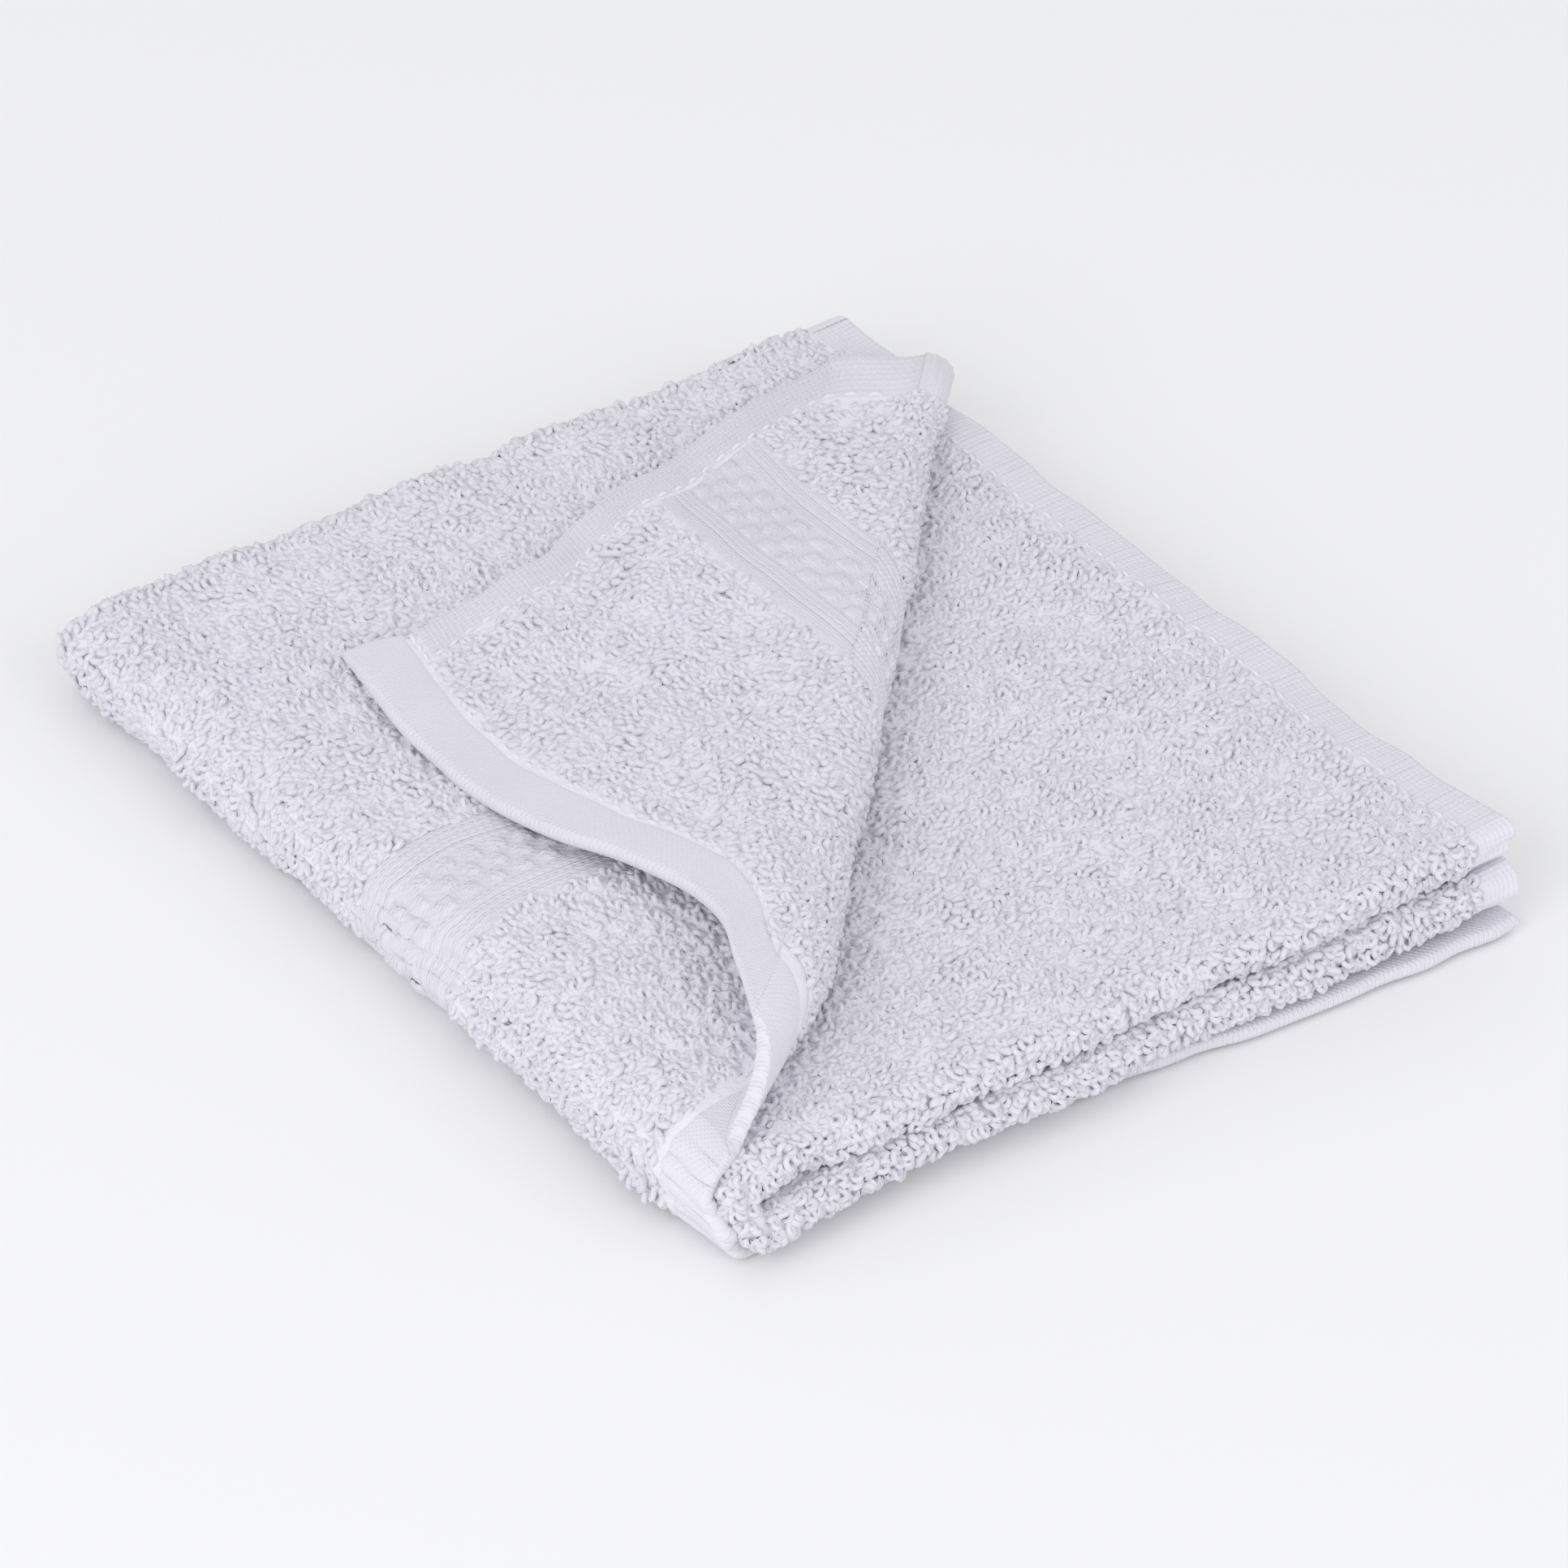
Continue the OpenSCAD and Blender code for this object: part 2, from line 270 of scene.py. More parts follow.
def on_corner(a, b):
    """Middle of the turned corner's cloth, a in from the end hem's edge, b in from the side's."""
    along = TIP[0] + a * ALONG_SIDE[0] + b * ALONG_HEM[0]
    across = TIP[1] + a * ALONG_SIDE[1] + b * ALONG_HEM[1]
    x, y = from_fold(along, across)
    place = settle(x, y, TOP_MIDDLE)
    rise = 2 * turn_radius(along)
    lift = CORNER_CLEARANCE + (rise - CORNER_CLEARANCE) * (1 - smooth(across / 52))
    away = 1 - np.exp(-np.maximum(across, 0) / 10)
    swing = np.exp(-(((b - 90) / 23) ** 2)) * away * (1 - smooth(a / 62)) * 11.0
    swing = swing - 2.0 * np.exp(-(((b - 30) / 22) ** 2)) * (1 - smooth(a / 40))
    side_wave = side_bow(a, b, across) + 0.9 * ripples(a, 0.4 * b, 42, 10) * smooth(across / 20)
    place[..., 0] += swing
    place[..., 1] += side_wave
    place[..., 2] += lift + 0.5 * ripples(a, b, 30, 11) * smooth(across / 20)
    return place


def facing(middle, sign=1):
    """Makes a middle surface into a function for places at a height above its outer face."""
    def place(p, q, height):
        step = 0.01
        here = middle(p, q)
        by_p = middle(p + step, q) - middle(p - step, q)
        by_q = middle(p, q + step) - middle(p, q - step)
        normal = np.cross(by_p, by_q)
        normal = normal / np.maximum(np.linalg.norm(normal, axis=-1, keepdims=True), 1e-9)
        return here + sign * normal * np.asarray(height)[..., None]
    return place


lower_half = on_half(-1)
upper_half = on_half(1)
round_spine = facing(on_spine)
round_roll = facing(on_roll)
turned_corner = facing(on_corner, -1)


# ---- Meshes ----

def value_at(bound, q):
    """A patch's bound in p, which is a number or changes with q."""
    return bound(q) if callable(bound) else np.full(np.shape(q), float(bound))


def rows(length, step, round_low, round_high, radius=0.9):
    """Rows from 0 to 1 over this length, and the share of the thickness that each one has."""
    count = max(2, int(math.ceil(length / step)))
    places = np.linspace(0, length, count + 1)
    lead = np.array([0, 0.08, 0.3, 0.65, 1.0]) * min(radius, length / 3)
    if round_low:
        places = np.concatenate([lead, places[places > lead[-1] * 1.2]])
    if round_high:
        places = np.concatenate([places[places < length - lead[-1] * 1.2], length - lead[::-1]])
    low = places if round_low else np.full_like(places, length)
    high = length - places if round_high else np.full_like(places, length)
    inward = np.clip(np.minimum(low, high) / max(lead[-1], 1e-6), 0, 1)
    share = np.sqrt(1 - (1 - inward) ** 2)
    return places / length, np.maximum(share, 0.05)


def make_object(name, points, faces, material, uvs, flat=0):
    """A mesh object from points in millimetres, smooth but for its last faces, and flat below."""
    pressed = 0.3 * np.exp((np.minimum(points[:, 2], 0.3) - 0.3) / 0.9)
    points[:, 2] = np.where(points[:, 2] < 0.3, pressed, points[:, 2])
    mesh = bpy.data.meshes.new(name)
    corner_count = faces.shape[1]
    mesh.vertices.add(len(points))
    mesh.vertices.foreach_set("co", ((points + ORIGIN) * MM).astype(np.float32).ravel())
    mesh.loops.add(faces.size)
    mesh.loops.foreach_set("vertex_index", faces.astype(np.int32).ravel())
    mesh.polygons.add(len(faces))
    starts = np.arange(0, faces.size, corner_count, dtype=np.int32)
    mesh.polygons.foreach_set("loop_start", starts)
    for layer, coordinates in uvs.items():
        uv = mesh.uv_layers.new(name=layer)
        uv.data.foreach_set("uv", coordinates[faces.ravel()].astype(np.float32).ravel())
    mesh.update(calc_edges=True)
    mesh.polygons.foreach_set("use_smooth", np.arange(len(faces)) < len(faces) - flat)
    mesh.materials.append(material)
    mesh.validate()
    piece = bpy.data.objects.new(name, mesh)
    bpy.context.scene.collection.objects.link(piece)
    return piece


def facing_out(points, faces):
    """The faces of a closed mesh in the order that makes them face outwards."""
    spots = points[faces]
    areas = np.cross(spots[:, 2] - spots[:, 0], spots[:, 3] - spots[:, 1])
    volume = (spots.mean(axis=1) * areas).sum()
    return faces if volume > 0 else faces[:, ::-1]


def shell(name, place, bounds, half, material, step=(2.5, 2.5), rounded=(1, 1, 1, 1),
          relief=None, unit=(1, 1)):
    """A closed piece of cloth over a patch: bounds are p low, p high, q low and q high."""
    p_low, p_high, q_low, q_high = bounds
    q_ends = np.array([q_low, q_high, (q_low + q_high) / 2], float)
    width = float(np.max(np.abs(value_at(p_high, q_ends) - value_at(p_low, q_ends))))
    i, i_share = rows(width, step[0], rounded[0], rounded[1])
    j, j_share = rows(q_high - q_low, step[1], rounded[2], rounded[3])
    share = i_share[:, None] * j_share[None, :]
    q = np.broadcast_to(q_low + (q_high - q_low) * j[None, :], share.shape)
    p = value_at(p_low, q) + (value_at(p_high, q) - value_at(p_low, q)) * i[:, None]
    height = half + (relief(p, q) if relief else 0.0)
    outer = place(p, q, height * share).reshape(-1, 3)
    inner = place(p, q, -height * share).reshape(-1, 3)
    index = np.arange(share.size).reshape(share.shape)
    face = np.stack([index[:-1, :-1], index[1:, :-1], index[1:, 1:], index[:-1, 1:]], -1)
    face = face.reshape(-1, 4)
    rim = np.concatenate([index[:, 0], index[-1, 1:], index[-2::-1, -1], index[0, -2:0:-1]])
    after = np.roll(rim, -1)
    count = share.size
    rim_face = np.stack([rim, rim + count, after + count, after], -1)
    points = np.concatenate([outer, inner])
    faces = facing_out(points, np.concatenate([face, face[:, ::-1] + count, rim_face]))
    flat = np.stack(np.broadcast_arrays(i[:, None], j[None, :]), -1).reshape(-1, 2)
    unwrapped = np.concatenate([flat * [0.98, 0.48] + [0.01, 0.01], flat * [0.98, 0.48] + [0.01, 0.51]])
    woven = np.stack([p, q], -1).reshape(-1, 2) * unit
    uvs = {"cloth": np.concatenate([woven, woven]), "OFBake": unwrapped}
    return make_object(name, points, faces, material, uvs, flat=len(rim))


def tubes(name, path, reference, radius, material, sides, woven):
    """Short lengths of yarn: path is item, point, xyz, and reference a vector for each item."""
    items, points = path.shape[:2]
    tangent = np.gradient(path, axis=1)
    tangent /= np.linalg.norm(tangent, axis=-1, keepdims=True)
    first = np.cross(tangent, reference[:, None, :])
    first /= np.maximum(np.linalg.norm(first, axis=-1, keepdims=True), 1e-9)
    second = np.cross(tangent, first)
    angle = np.arange(sides) * math.tau / sides
    ring = np.cos(angle)[:, None] * first[:, :, None, :] + np.sin(angle)[:, None] * second[:, :, None, :]
    spots = path[:, :, None, :] + np.asarray(radius)[:, :, None, None] * ring
    index = np.arange(items * points * sides).reshape(items, points, sides)
    beside = np.roll(index, -1, axis=2)
    faces = np.stack([index[:, :-1], beside[:, :-1], beside[:, 1:], index[:, 1:]], -1).reshape(-1, 4)
    uv = np.repeat(woven, points * sides, axis=0)
    span = np.ptp(woven, axis=0) + 1e-6
    spread = np.tile(np.stack(np.meshgrid(np.linspace(0, 1, points), np.linspace(0, 1, sides),
                                          indexing="ij"), -1).reshape(-1, 2), (items, 1))
    bake = (uv - woven.min(axis=0)) / span * 0.98 + spread * 0.008
    return make_object(name, spots.reshape(-1, 3), faces, material, {"cloth": uv, "OFBake": bake})


def frames_at(place, p, q, height, face):
    """Points on the cloth, their outward normals, the direction of p and the one across it."""
    base = place(p, q, height)
    normal = place(p, q, height + face * 0.2) - base
    normal /= np.linalg.norm(normal, axis=-1, keepdims=True)
    ahead = place(p + 0.02, q, height) - base
    ahead -= normal * (ahead * normal).sum(-1, keepdims=True)
    ahead /= np.maximum(np.linalg.norm(ahead, axis=-1, keepdims=True), 1e-9)
    return base, normal, ahead, np.cross(normal, ahead)


def scatter(bounds, spacing, scale, seed):
    """Jittered places over a patch; scale is the length of one unit of p and of q."""
    chance = np.random.default_rng(seed)
    p_low, p_high, q_low, q_high = bounds
    q_all = np.linspace(q_low, q_high, 60)
    p_from, p_to = value_at(p_low, q_all).min(), value_at(p_high, q_all).max()
    p_count = max(1, int((p_to - p_from) * scale[0] / spacing))
    q_count = max(1, int((q_high - q_low) * scale[1] / spacing))
    p = p_from + (np.arange(p_count) + 0.5) / p_count * (p_to - p_from)
    q = q_low + (np.arange(q_count) + 0.5) / q_count * (q_high - q_low)
    p, q = (grid.ravel() for grid in np.meshgrid(p, q, indexing="ij"))
    p = p + chance.uniform(-0.38, 0.38, p.size) * spacing / scale[0]
    q = q + chance.uniform(-0.38, 0.38, q.size) * spacing / scale[1]
    inside = (p > value_at(p_low, q)) & (p < value_at(p_high, q))
    inside &= (q > q_low) & (q < q_high)
    return p[inside], q[inside], chance


def loops(place, p, q, face, chance, combed):
    """Paths of curled terry loops standing on a face of the cloth, and their side vectors."""
    count = p.size
    foot = np.full(count, face * (GROUND - LOOP_DEPTH))
    base, normal, ahead, aside = frames_at(place, p, q, foot, face)
    turn = combed + 1.2 * ripples(p, q, 26, 21) + chance.normal(0, 0.9, count)
    lean = np.clip(0.95 + 0.08 * ripples(p, q, 19, 22) + chance.normal(0, 0.16, count), 0.5, 1.25)
    size = chance.uniform(0.58, 0.80, count)
    u = np.cos(turn)[:, None] * ahead + np.sin(turn)[:, None] * aside
    v = -np.sin(turn)[:, None] * ahead + np.cos(turn)[:, None] * aside
    up = np.cos(lean)[:, None] * normal + np.sin(lean)[:, None] * v
    side = -np.sin(lean)[:, None] * normal + np.cos(lean)[:, None] * v
    angle = np.radians(np.linspace(-75, 235, 7))
    width = np.cos(angle)[None, :] * size[:, None] * chance.uniform(0.7, 1.05, count)[:, None]
    height = (1 + np.sin(angle))[None, :] * size[:, None] * chance.uniform(0.95, 1.3, count)[:, None]
    twist = np.linspace(-0.5, 0.5, 7)[None, :] * size[:, None] * chance.uniform(-1.3, 1.3, count)[:, None]
    path = (
        base[:, None, :] + width[..., None] * u[:, None, :]
        + height[..., None] * up[:, None, :] + twist[..., None] * side[:, None, :]
    )
    return path, side


def run_length(points):
    """How long the line through these points is."""
    return float(np.linalg.norm(np.diff(points, axis=0), axis=1).sum())


def spans(place, bounds, height):
    """Millimetres for one unit of p and of q, on the middle lines of a patch's face."""
    p_low, p_high, q_low, q_high = bounds
    share = np.linspace(0, 1, 60)
    heights = np.full(60, height)
    q = q_low + (q_high - q_low) * share
    q_middle = np.full(60, (q_low + q_high) / 2)
    p_start, p_end = value_at(p_low, q_middle)[0], value_at(p_high, q_middle)[0]
    p = p_start + (p_end - p_start) * share
    p_middle = np.full(60, (p_start + p_end) / 2)
    over_p = run_length(place(p, q_middle, heights)) / max(abs(p_end - p_start), 1e-6)
    over_q = run_length(place(p_middle, q, heights)) / (q_high - q_low)
    return over_p, over_q


def pile(name, place, bounds, face, seed, spacing=LOOP_SPACING):
    """Terry loops over a patch of one face, in as many pieces as their number needs."""
    scale = spans(place, bounds, face * (GROUND + 0.5))
    p, q, chance = scatter(bounds, spacing, scale, seed)
    path, side = loops(place, p, q, face, chance, combed=seed * 0.7)
    radius = np.repeat(chance.uniform(*YARN_RADIUS, p.size)[:, None], path.shape[1], axis=1)
    parts = max(1, math.ceil(p.size / LOOPS_PER_PIECE))
    made = []
    for number, part in enumerate(np.array_split(np.arange(p.size), parts)):
        title = name if parts == 1 else f"{name}_{number + 1}"
        woven = np.stack([p[part], q[part]], -1)
        made.append(tubes(title, path[part], side[part], radius[part], terry_yarn, 4, woven))
    return made


def stitches(name, place, starts, ends, height, face, pitch=3.2, length=2.3):
    """A row of sewn stitches between two places of a patch."""
    starts, ends = np.array(starts, float), np.array(ends, float)
    near = place(np.array([starts[0], ends[0]]), np.array([starts[1], ends[1]]), np.zeros(2))
    run = float(np.linalg.norm(near[1] - near[0]))
    count = max(2, int(run / pitch))
    at = (np.arange(count) + 0.5) / count
    reach = np.linspace(-0.5, 0.5, 7) * length / run
    t = at[:, None] + reach[None, :]
    p = starts[0] + (ends[0] - starts[0]) * t
    q = starts[1] + (ends[1] - starts[1]) * t
    path = place(p, q, face * (height + np.broadcast_to(STITCH_ARCH, p.shape)))
    over = place(p, q, face * (height + 1.0)) - place(p, q, face * height)
    radius = np.broadcast_to(STITCH_RADIUS, p.shape)
    woven = np.stack([p[:, 3], q[:, 3]], -1)
    return tubes(name, path, over[:, 3], radius, thread, 6, woven)


# ---- Materials ----

def noise_node(nodes, links, source, scale, detail=3.0):
    node = nodes.new("ShaderNodeTexNoise")
    node.inputs["Scale"].default_value = scale
    node.inputs["Detail"].default_value = detail
    links.new(source, node.inputs["Vector"])
    return node.outputs["Fac"]


def bands_node(nodes, links, source, direction, pitch):
    """Bands across one direction of the cloth coordinates, which are in millimetres."""
    node = nodes.new("ShaderNodeTexWave")
    node.bands_direction = direction
    node.inputs["Scale"].default_value = math.tau / 20 / pitch
    node.inputs["Distortion"].default_value = 0.6
    node.inputs["Detail Scale"].default_value = 1.5
    links.new(source, node.inputs["Vector"])
    return node.outputs["Fac"]


def cotton(name, light, dark, patch_size, weave=(), depth=0.0, sheen=0.25, roughness=0.92,
           grain=2.2):
    """White cotton: patchy tint, and a bump made of bands and fibres."""
    material = bpy.data.materials.new(name)
    material.use_nodes = True
    nodes, links = material.node_tree.nodes, material.node_tree.links
    shader = nodes["Principled BSDF"]
    shader.inputs["Roughness"].default_value = roughness
    shader.inputs["Sheen Weight"].default_value = sheen
    shader.inputs["Sheen Roughness"].default_value = 0.45
    shader.inputs["Specular IOR Level"].default_value = 0.25
    cloth = nodes.new("ShaderNodeUVMap")
    cloth.uv_map = "cloth"
    tint = nodes.new("ShaderNodeMix")
    tint.data_type = "RGBA"
    tint.inputs["A"].default_value = (*dark, 1)
    tint.inputs["B"].default_value = (*light, 1)
    links.new(noise_node(nodes, links, cloth.outputs["UV"], 1 / patch_size), tint.inputs["Factor"])
    links.new(tint.outputs["Result"], shader.inputs["Base Color"])
    if depth:
        height = noise_node(nodes, links, cloth.outputs["UV"], grain)
        for direction, pitch in weave:
            total = nodes.new("ShaderNodeMath")
            total.operation = "ADD"
            links.new(height, total.inputs[0])
            links.new(bands_node(nodes, links, cloth.outputs["UV"], direction, pitch), total.inputs[1])
            height = total.outputs["Value"]
        bump = nodes.new("ShaderNodeBump")
        bump.inputs["Distance"].default_value = depth * MM
        bump.inputs["Strength"].default_value = 0.8
        links.new(height, bump.inputs["Height"])
        links.new(bump.outputs["Normal"], shader.inputs["Normal"])
    return material


WHITE = (0.86, 0.845, 0.905)
SHADE = (0.80, 0.785, 0.855)
GROUND_WHITE = (0.90, 0.885, 0.94)
GROUND_SHADE = (0.84, 0.825, 0.89)
YARN_WHITE = (0.83, 0.815, 0.873)
YARN_SHADE = (0.79, 0.775, 0.838)
THREAD_WHITE = (0.87, 0.86, 0.90)
THREAD_SHADE = (0.82, 0.81, 0.86)
terry_ground = cotton("terry_ground", GROUND_WHITE, GROUND_SHADE, 6, depth=0.55, grain=0.75)
terry_yarn = cotton("terry_yarn", YARN_WHITE, YARN_SHADE, 2.0, sheen=0.3)
ribbed_hem = cotton("ribbed_hem", WHITE, SHADE, 9, [("X", 0.42), ("Y", 0.9)], 0.10)
plain_hem = cotton("plain_hem", WHITE, SHADE, 14, [("DIAGONAL", 0.5), ("X", 0.45)], 0.09)
dobby = cotton("dobby", WHITE, SHADE, 8, [("DIAGONAL", 0.75), ("Y", 0.4)], 0.12)
thread = cotton("thread", THREAD_WHITE, THREAD_SHADE, 1.2, roughness=0.75)


# ---- Relief of the hems and the border ----

def side_ribs(along, across_hem):
    """Ribs across the side hem, stronger on its folded outer edge."""
    return 0.20 * np.abs(np.sin(math.pi * along / 1.05)) * (0.65 + 0.35 * smooth(across_hem / 4))


def hem_ticks(along, from_edge):
    """Small ticks on the end hem's folded edge, and the groove of its stitch line."""
    ticks = 0.14 * np.sin(math.tau * along / 0.9) * np.exp(-from_edge / 1.1)
    groove = 0.6 * np.exp(-(((from_edge - HEM_STITCHES) / 0.85) ** 2))
    return ticks - groove


def dobby_relief(into, along):
    """Fine ribs on both sides of rows of raised blocks; into runs across the border."""
    width = BORDER_END - BORDER_START
    ribs = 0.34 * np.abs(np.sin(math.pi * into / 1.15))
    row = np.floor(into / 3.4)
    block_in = smooth((np.abs(np.sin(math.pi * into / 3.4)) - 0.25) / 0.4)
    block_on = smooth((np.sin(math.tau * (along / 4.6 + 0.5 * np.mod(row, 2))) + 0.35) / 0.5)
    hatch = 0.11 * np.sin(math.tau * (along + into) / 1.0)
    blocks = (0.62 + hatch) * block_in * block_on
    middle = smooth((into - 6.2) / 0.8) * smooth((width - 6.2 - into) / 0.8)
    return ribs * (1 - middle) + blocks * middle


# ---- Pieces ----

def ride(pieces, body):
    for piece in pieces:
        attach(piece, body)


def in_slot(pieces):
    return pieces


def to_fold_line(limit, nearest=SPINE + 0.3, beyond=SEAM):
    """A bound in x for the upper half's outer panel: the fold line, or the limit if that is nearer."""
    def bound(s):
        return np.clip(fold_x(profile(s)[0]) + beyond, nearest, limit)
    return bound


def cut_outer_panel(s):
    """A bound in x for the upper half's cloth: the fold line on the outer panel, or the edge."""
    return np.where(s < BACK_CREASE, to_fold_line(WIDTH - EDGE)(s), WIDTH - EDGE)


def from_fold_line(x):
    """A bound in s for the upper half's side hem: where the fold line crosses this x."""
    return fold_y(x) - HEM_FRONT


def build_half(side, name, place):
    """The cloth, hems, border, stitches and loops of one half of the towel."""
    upper = side > 0
    reach = cut_outer_panel if upper else WIDTH - EDGE
    cloth = shell(
        f"{name}_cloth", place, (SPINE - SEAM, reach, EDGE, TOWEL_END - EDGE), GROUND, terry_ground,
        step=(4, 1.6), rounded=(0, 1, 1, 1),
    )
    in_slot([cloth])
    hems, borders, piles, rows_of_thread = [], [], [], []

    def hem_relief(start, direction):
        return lambda x, s: hem_ticks(x, direction * (s - start))

    hem_end = to_fold_line(WIDTH) if upper else WIDTH
    hems.append(shell(
        f"{name}_end_hem", place, (SPINE - SEAM, hem_end, 0, END_HEM), HEM, plain_hem,
        step=(0.3, 0.7), rounded=(0, int(not upper), 1, 1), relief=hem_relief(0, 1),
    ))
    hems.append(shell(
        f"{name}_inner_hem_cloth", place, (SPINE - SEAM, WIDTH, INNER_HEM, TOWEL_END), HEM, plain_hem,
        step=(0.3, 0.7), rounded=(0, 1, 1, 1), relief=hem_relief(TOWEL_END, -1),
    ))
    in_slot(hems)

    # Built with s as p and x as q, so that its start can follow the fold line
    def side_place(s, x, height):
        return place(x, s, height)

    side_start = from_fold_line if upper else END_HEM
    side_hems = [
        shell(
            f"{name}_{title}", side_place, (start, end, SIDE_HEM, WIDTH), HEM, ribbed_hem,
            step=(0.27, across_step), rounded=(0, 0, 1, 1),
            relief=lambda s, x: side_ribs(s, x - SIDE_HEM),
        )
        for title, start, end, across_step in (
            ("side_hem", side_start, BACK_CREASE, 0.3), ("turned_side_hem", BACK_CREASE, INNER_HEM, 0.9),
        )
    ]
    in_slot(side_hems)

    border_reach = to_fold_line(SIDE_HEM) if upper else SIDE_HEM
    for title, start, end, bound in (
        ("border", BORDER_START, BORDER_END, border_reach),
        ("inner_border_cloth", INNER_BORDER, INNER_BORDER_END, SIDE_HEM),
    ):
        borders.append(shell(
            f"{name}_{title}", place, (SPINE - SEAM, bound, start, end), GROUND + 0.2, dobby,
            step=(0.6, 0.35), rounded=(0, 1, 1, 1),
            relief=lambda x, s, start=start: dobby_relief(s - start, x),
        ))
    in_slot(borders)

    looped = to_fold_line(SIDE_HEM, beyond=0) if upper else SIDE_HEM
    seed = 100 if upper else 200
    piles += pile(f"{name}_end_pile", place, (SPINE, looped, END_HEM - 0.4, BORDER_START + 0.2), 1, seed)
    piles += pile(f"{name}_pile", place, (SPINE, looped, BORDER_END - 0.2, BACK_CREASE), 1, seed + 1)
    piles += pile(
        f"{name}_back_pile", place, (SPINE, SIDE_HEM, BACK_CREASE, MIDDLE_PANEL + 0.5), 1, seed + 6,
    )
    piles += pile(
        f"{name}_front_pile", place, (SPINE, SIDE_HEM, FRONT_CREASE - 0.5, INNER_PANEL + 0.5), -1,
        seed + 2, spacing=CREASE_SPACING,
    )
    piles += pile(
        f"{name}_inner_pile", place, (SPINE, SIDE_HEM, INNER_PANEL, INNER_BORDER), -1, seed + 3,
        spacing=HIDDEN_SPACING,
    )
    piles += pile(
        f"{name}_inner_end_pile", place, (SPINE, SIDE_HEM, INNER_BORDER_END, INNER_HEM), -1, seed + 4,
        spacing=HIDDEN_SPACING,
    )
    if upper:
        covered = to_fold_line(SIDE_HEM, nearest=SPINE, beyond=-5)
        piles += pile(
            f"{name}_middle_pile", place, (covered, SIDE_HEM, MIDDLE_PANEL, FRONT_CREASE - 0.5), -1,
            seed + 5,
        )
    in_slot(piles)

    line = TOWEL_END - HEM_STITCHES
    rows_of_thread.append(stitches(
        f"{name}_inner_hem_stitches", place, (SPINE + 1, line), (WIDTH - 1, line), SEWN, -1,
    ))
    if upper:
        rows_of_thread.append(stitches(
            f"{name}_side_stitches", place, (SIDE_HEM + 1.2, MIDDLE_PANEL + 2),
            (SIDE_HEM + 1.2, FRONT_CREASE - 2), HEM + 0.05, -1, pitch=3.4,
        ))
    else:
        rows_of_thread.append(stitches(
            f"{name}_hem_stitches", place, (SPINE + 1, HEM_STITCHES), (WIDTH - 1, HEM_STITCHES),
            SEWN, 1,
        ))
    in_slot(rows_of_thread)
    extras = hems + borders + piles + rows_of_thread + side_hems
    ride([cloth] + extras, f"{name}_half")
    return cloth, extras


def bend_round_spine(piece, s_from, s_to):
    """Bakes the piece's place into its mesh. The spine's ends below and above, at the middle of its way
    along, are worked out but not used.
    """
    s = np.array([(s_from + s_to) / 2])
    below, above = on_spine(np.array([-1.0]), s)[0], on_spine(np.array([1.0]), s)[0]
    start, end = ((point + ORIGIN) * MM for point in (below, above))
    end[0], end[1] = start[0], start[1]
    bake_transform(piece)


# Half the way round the spine on its outer layer, and the way round the roll, which is tight
# at the side hem
SPINE_ARC = 12.3
ROLL_ARC = 14.0
TIGHT_ARC = 8.0
# Along the fold line: where the top layer's side hem starts and ends
ROLL_SIDE_HEM = 187.3
ROLL_SIDE_EDGE = 198.5


def round_to(turn):
    """The way across the towel at a turn round the spine, as on the halves it joins."""
    return SPINE - (1 - np.abs(turn)) * SPINE_ARC


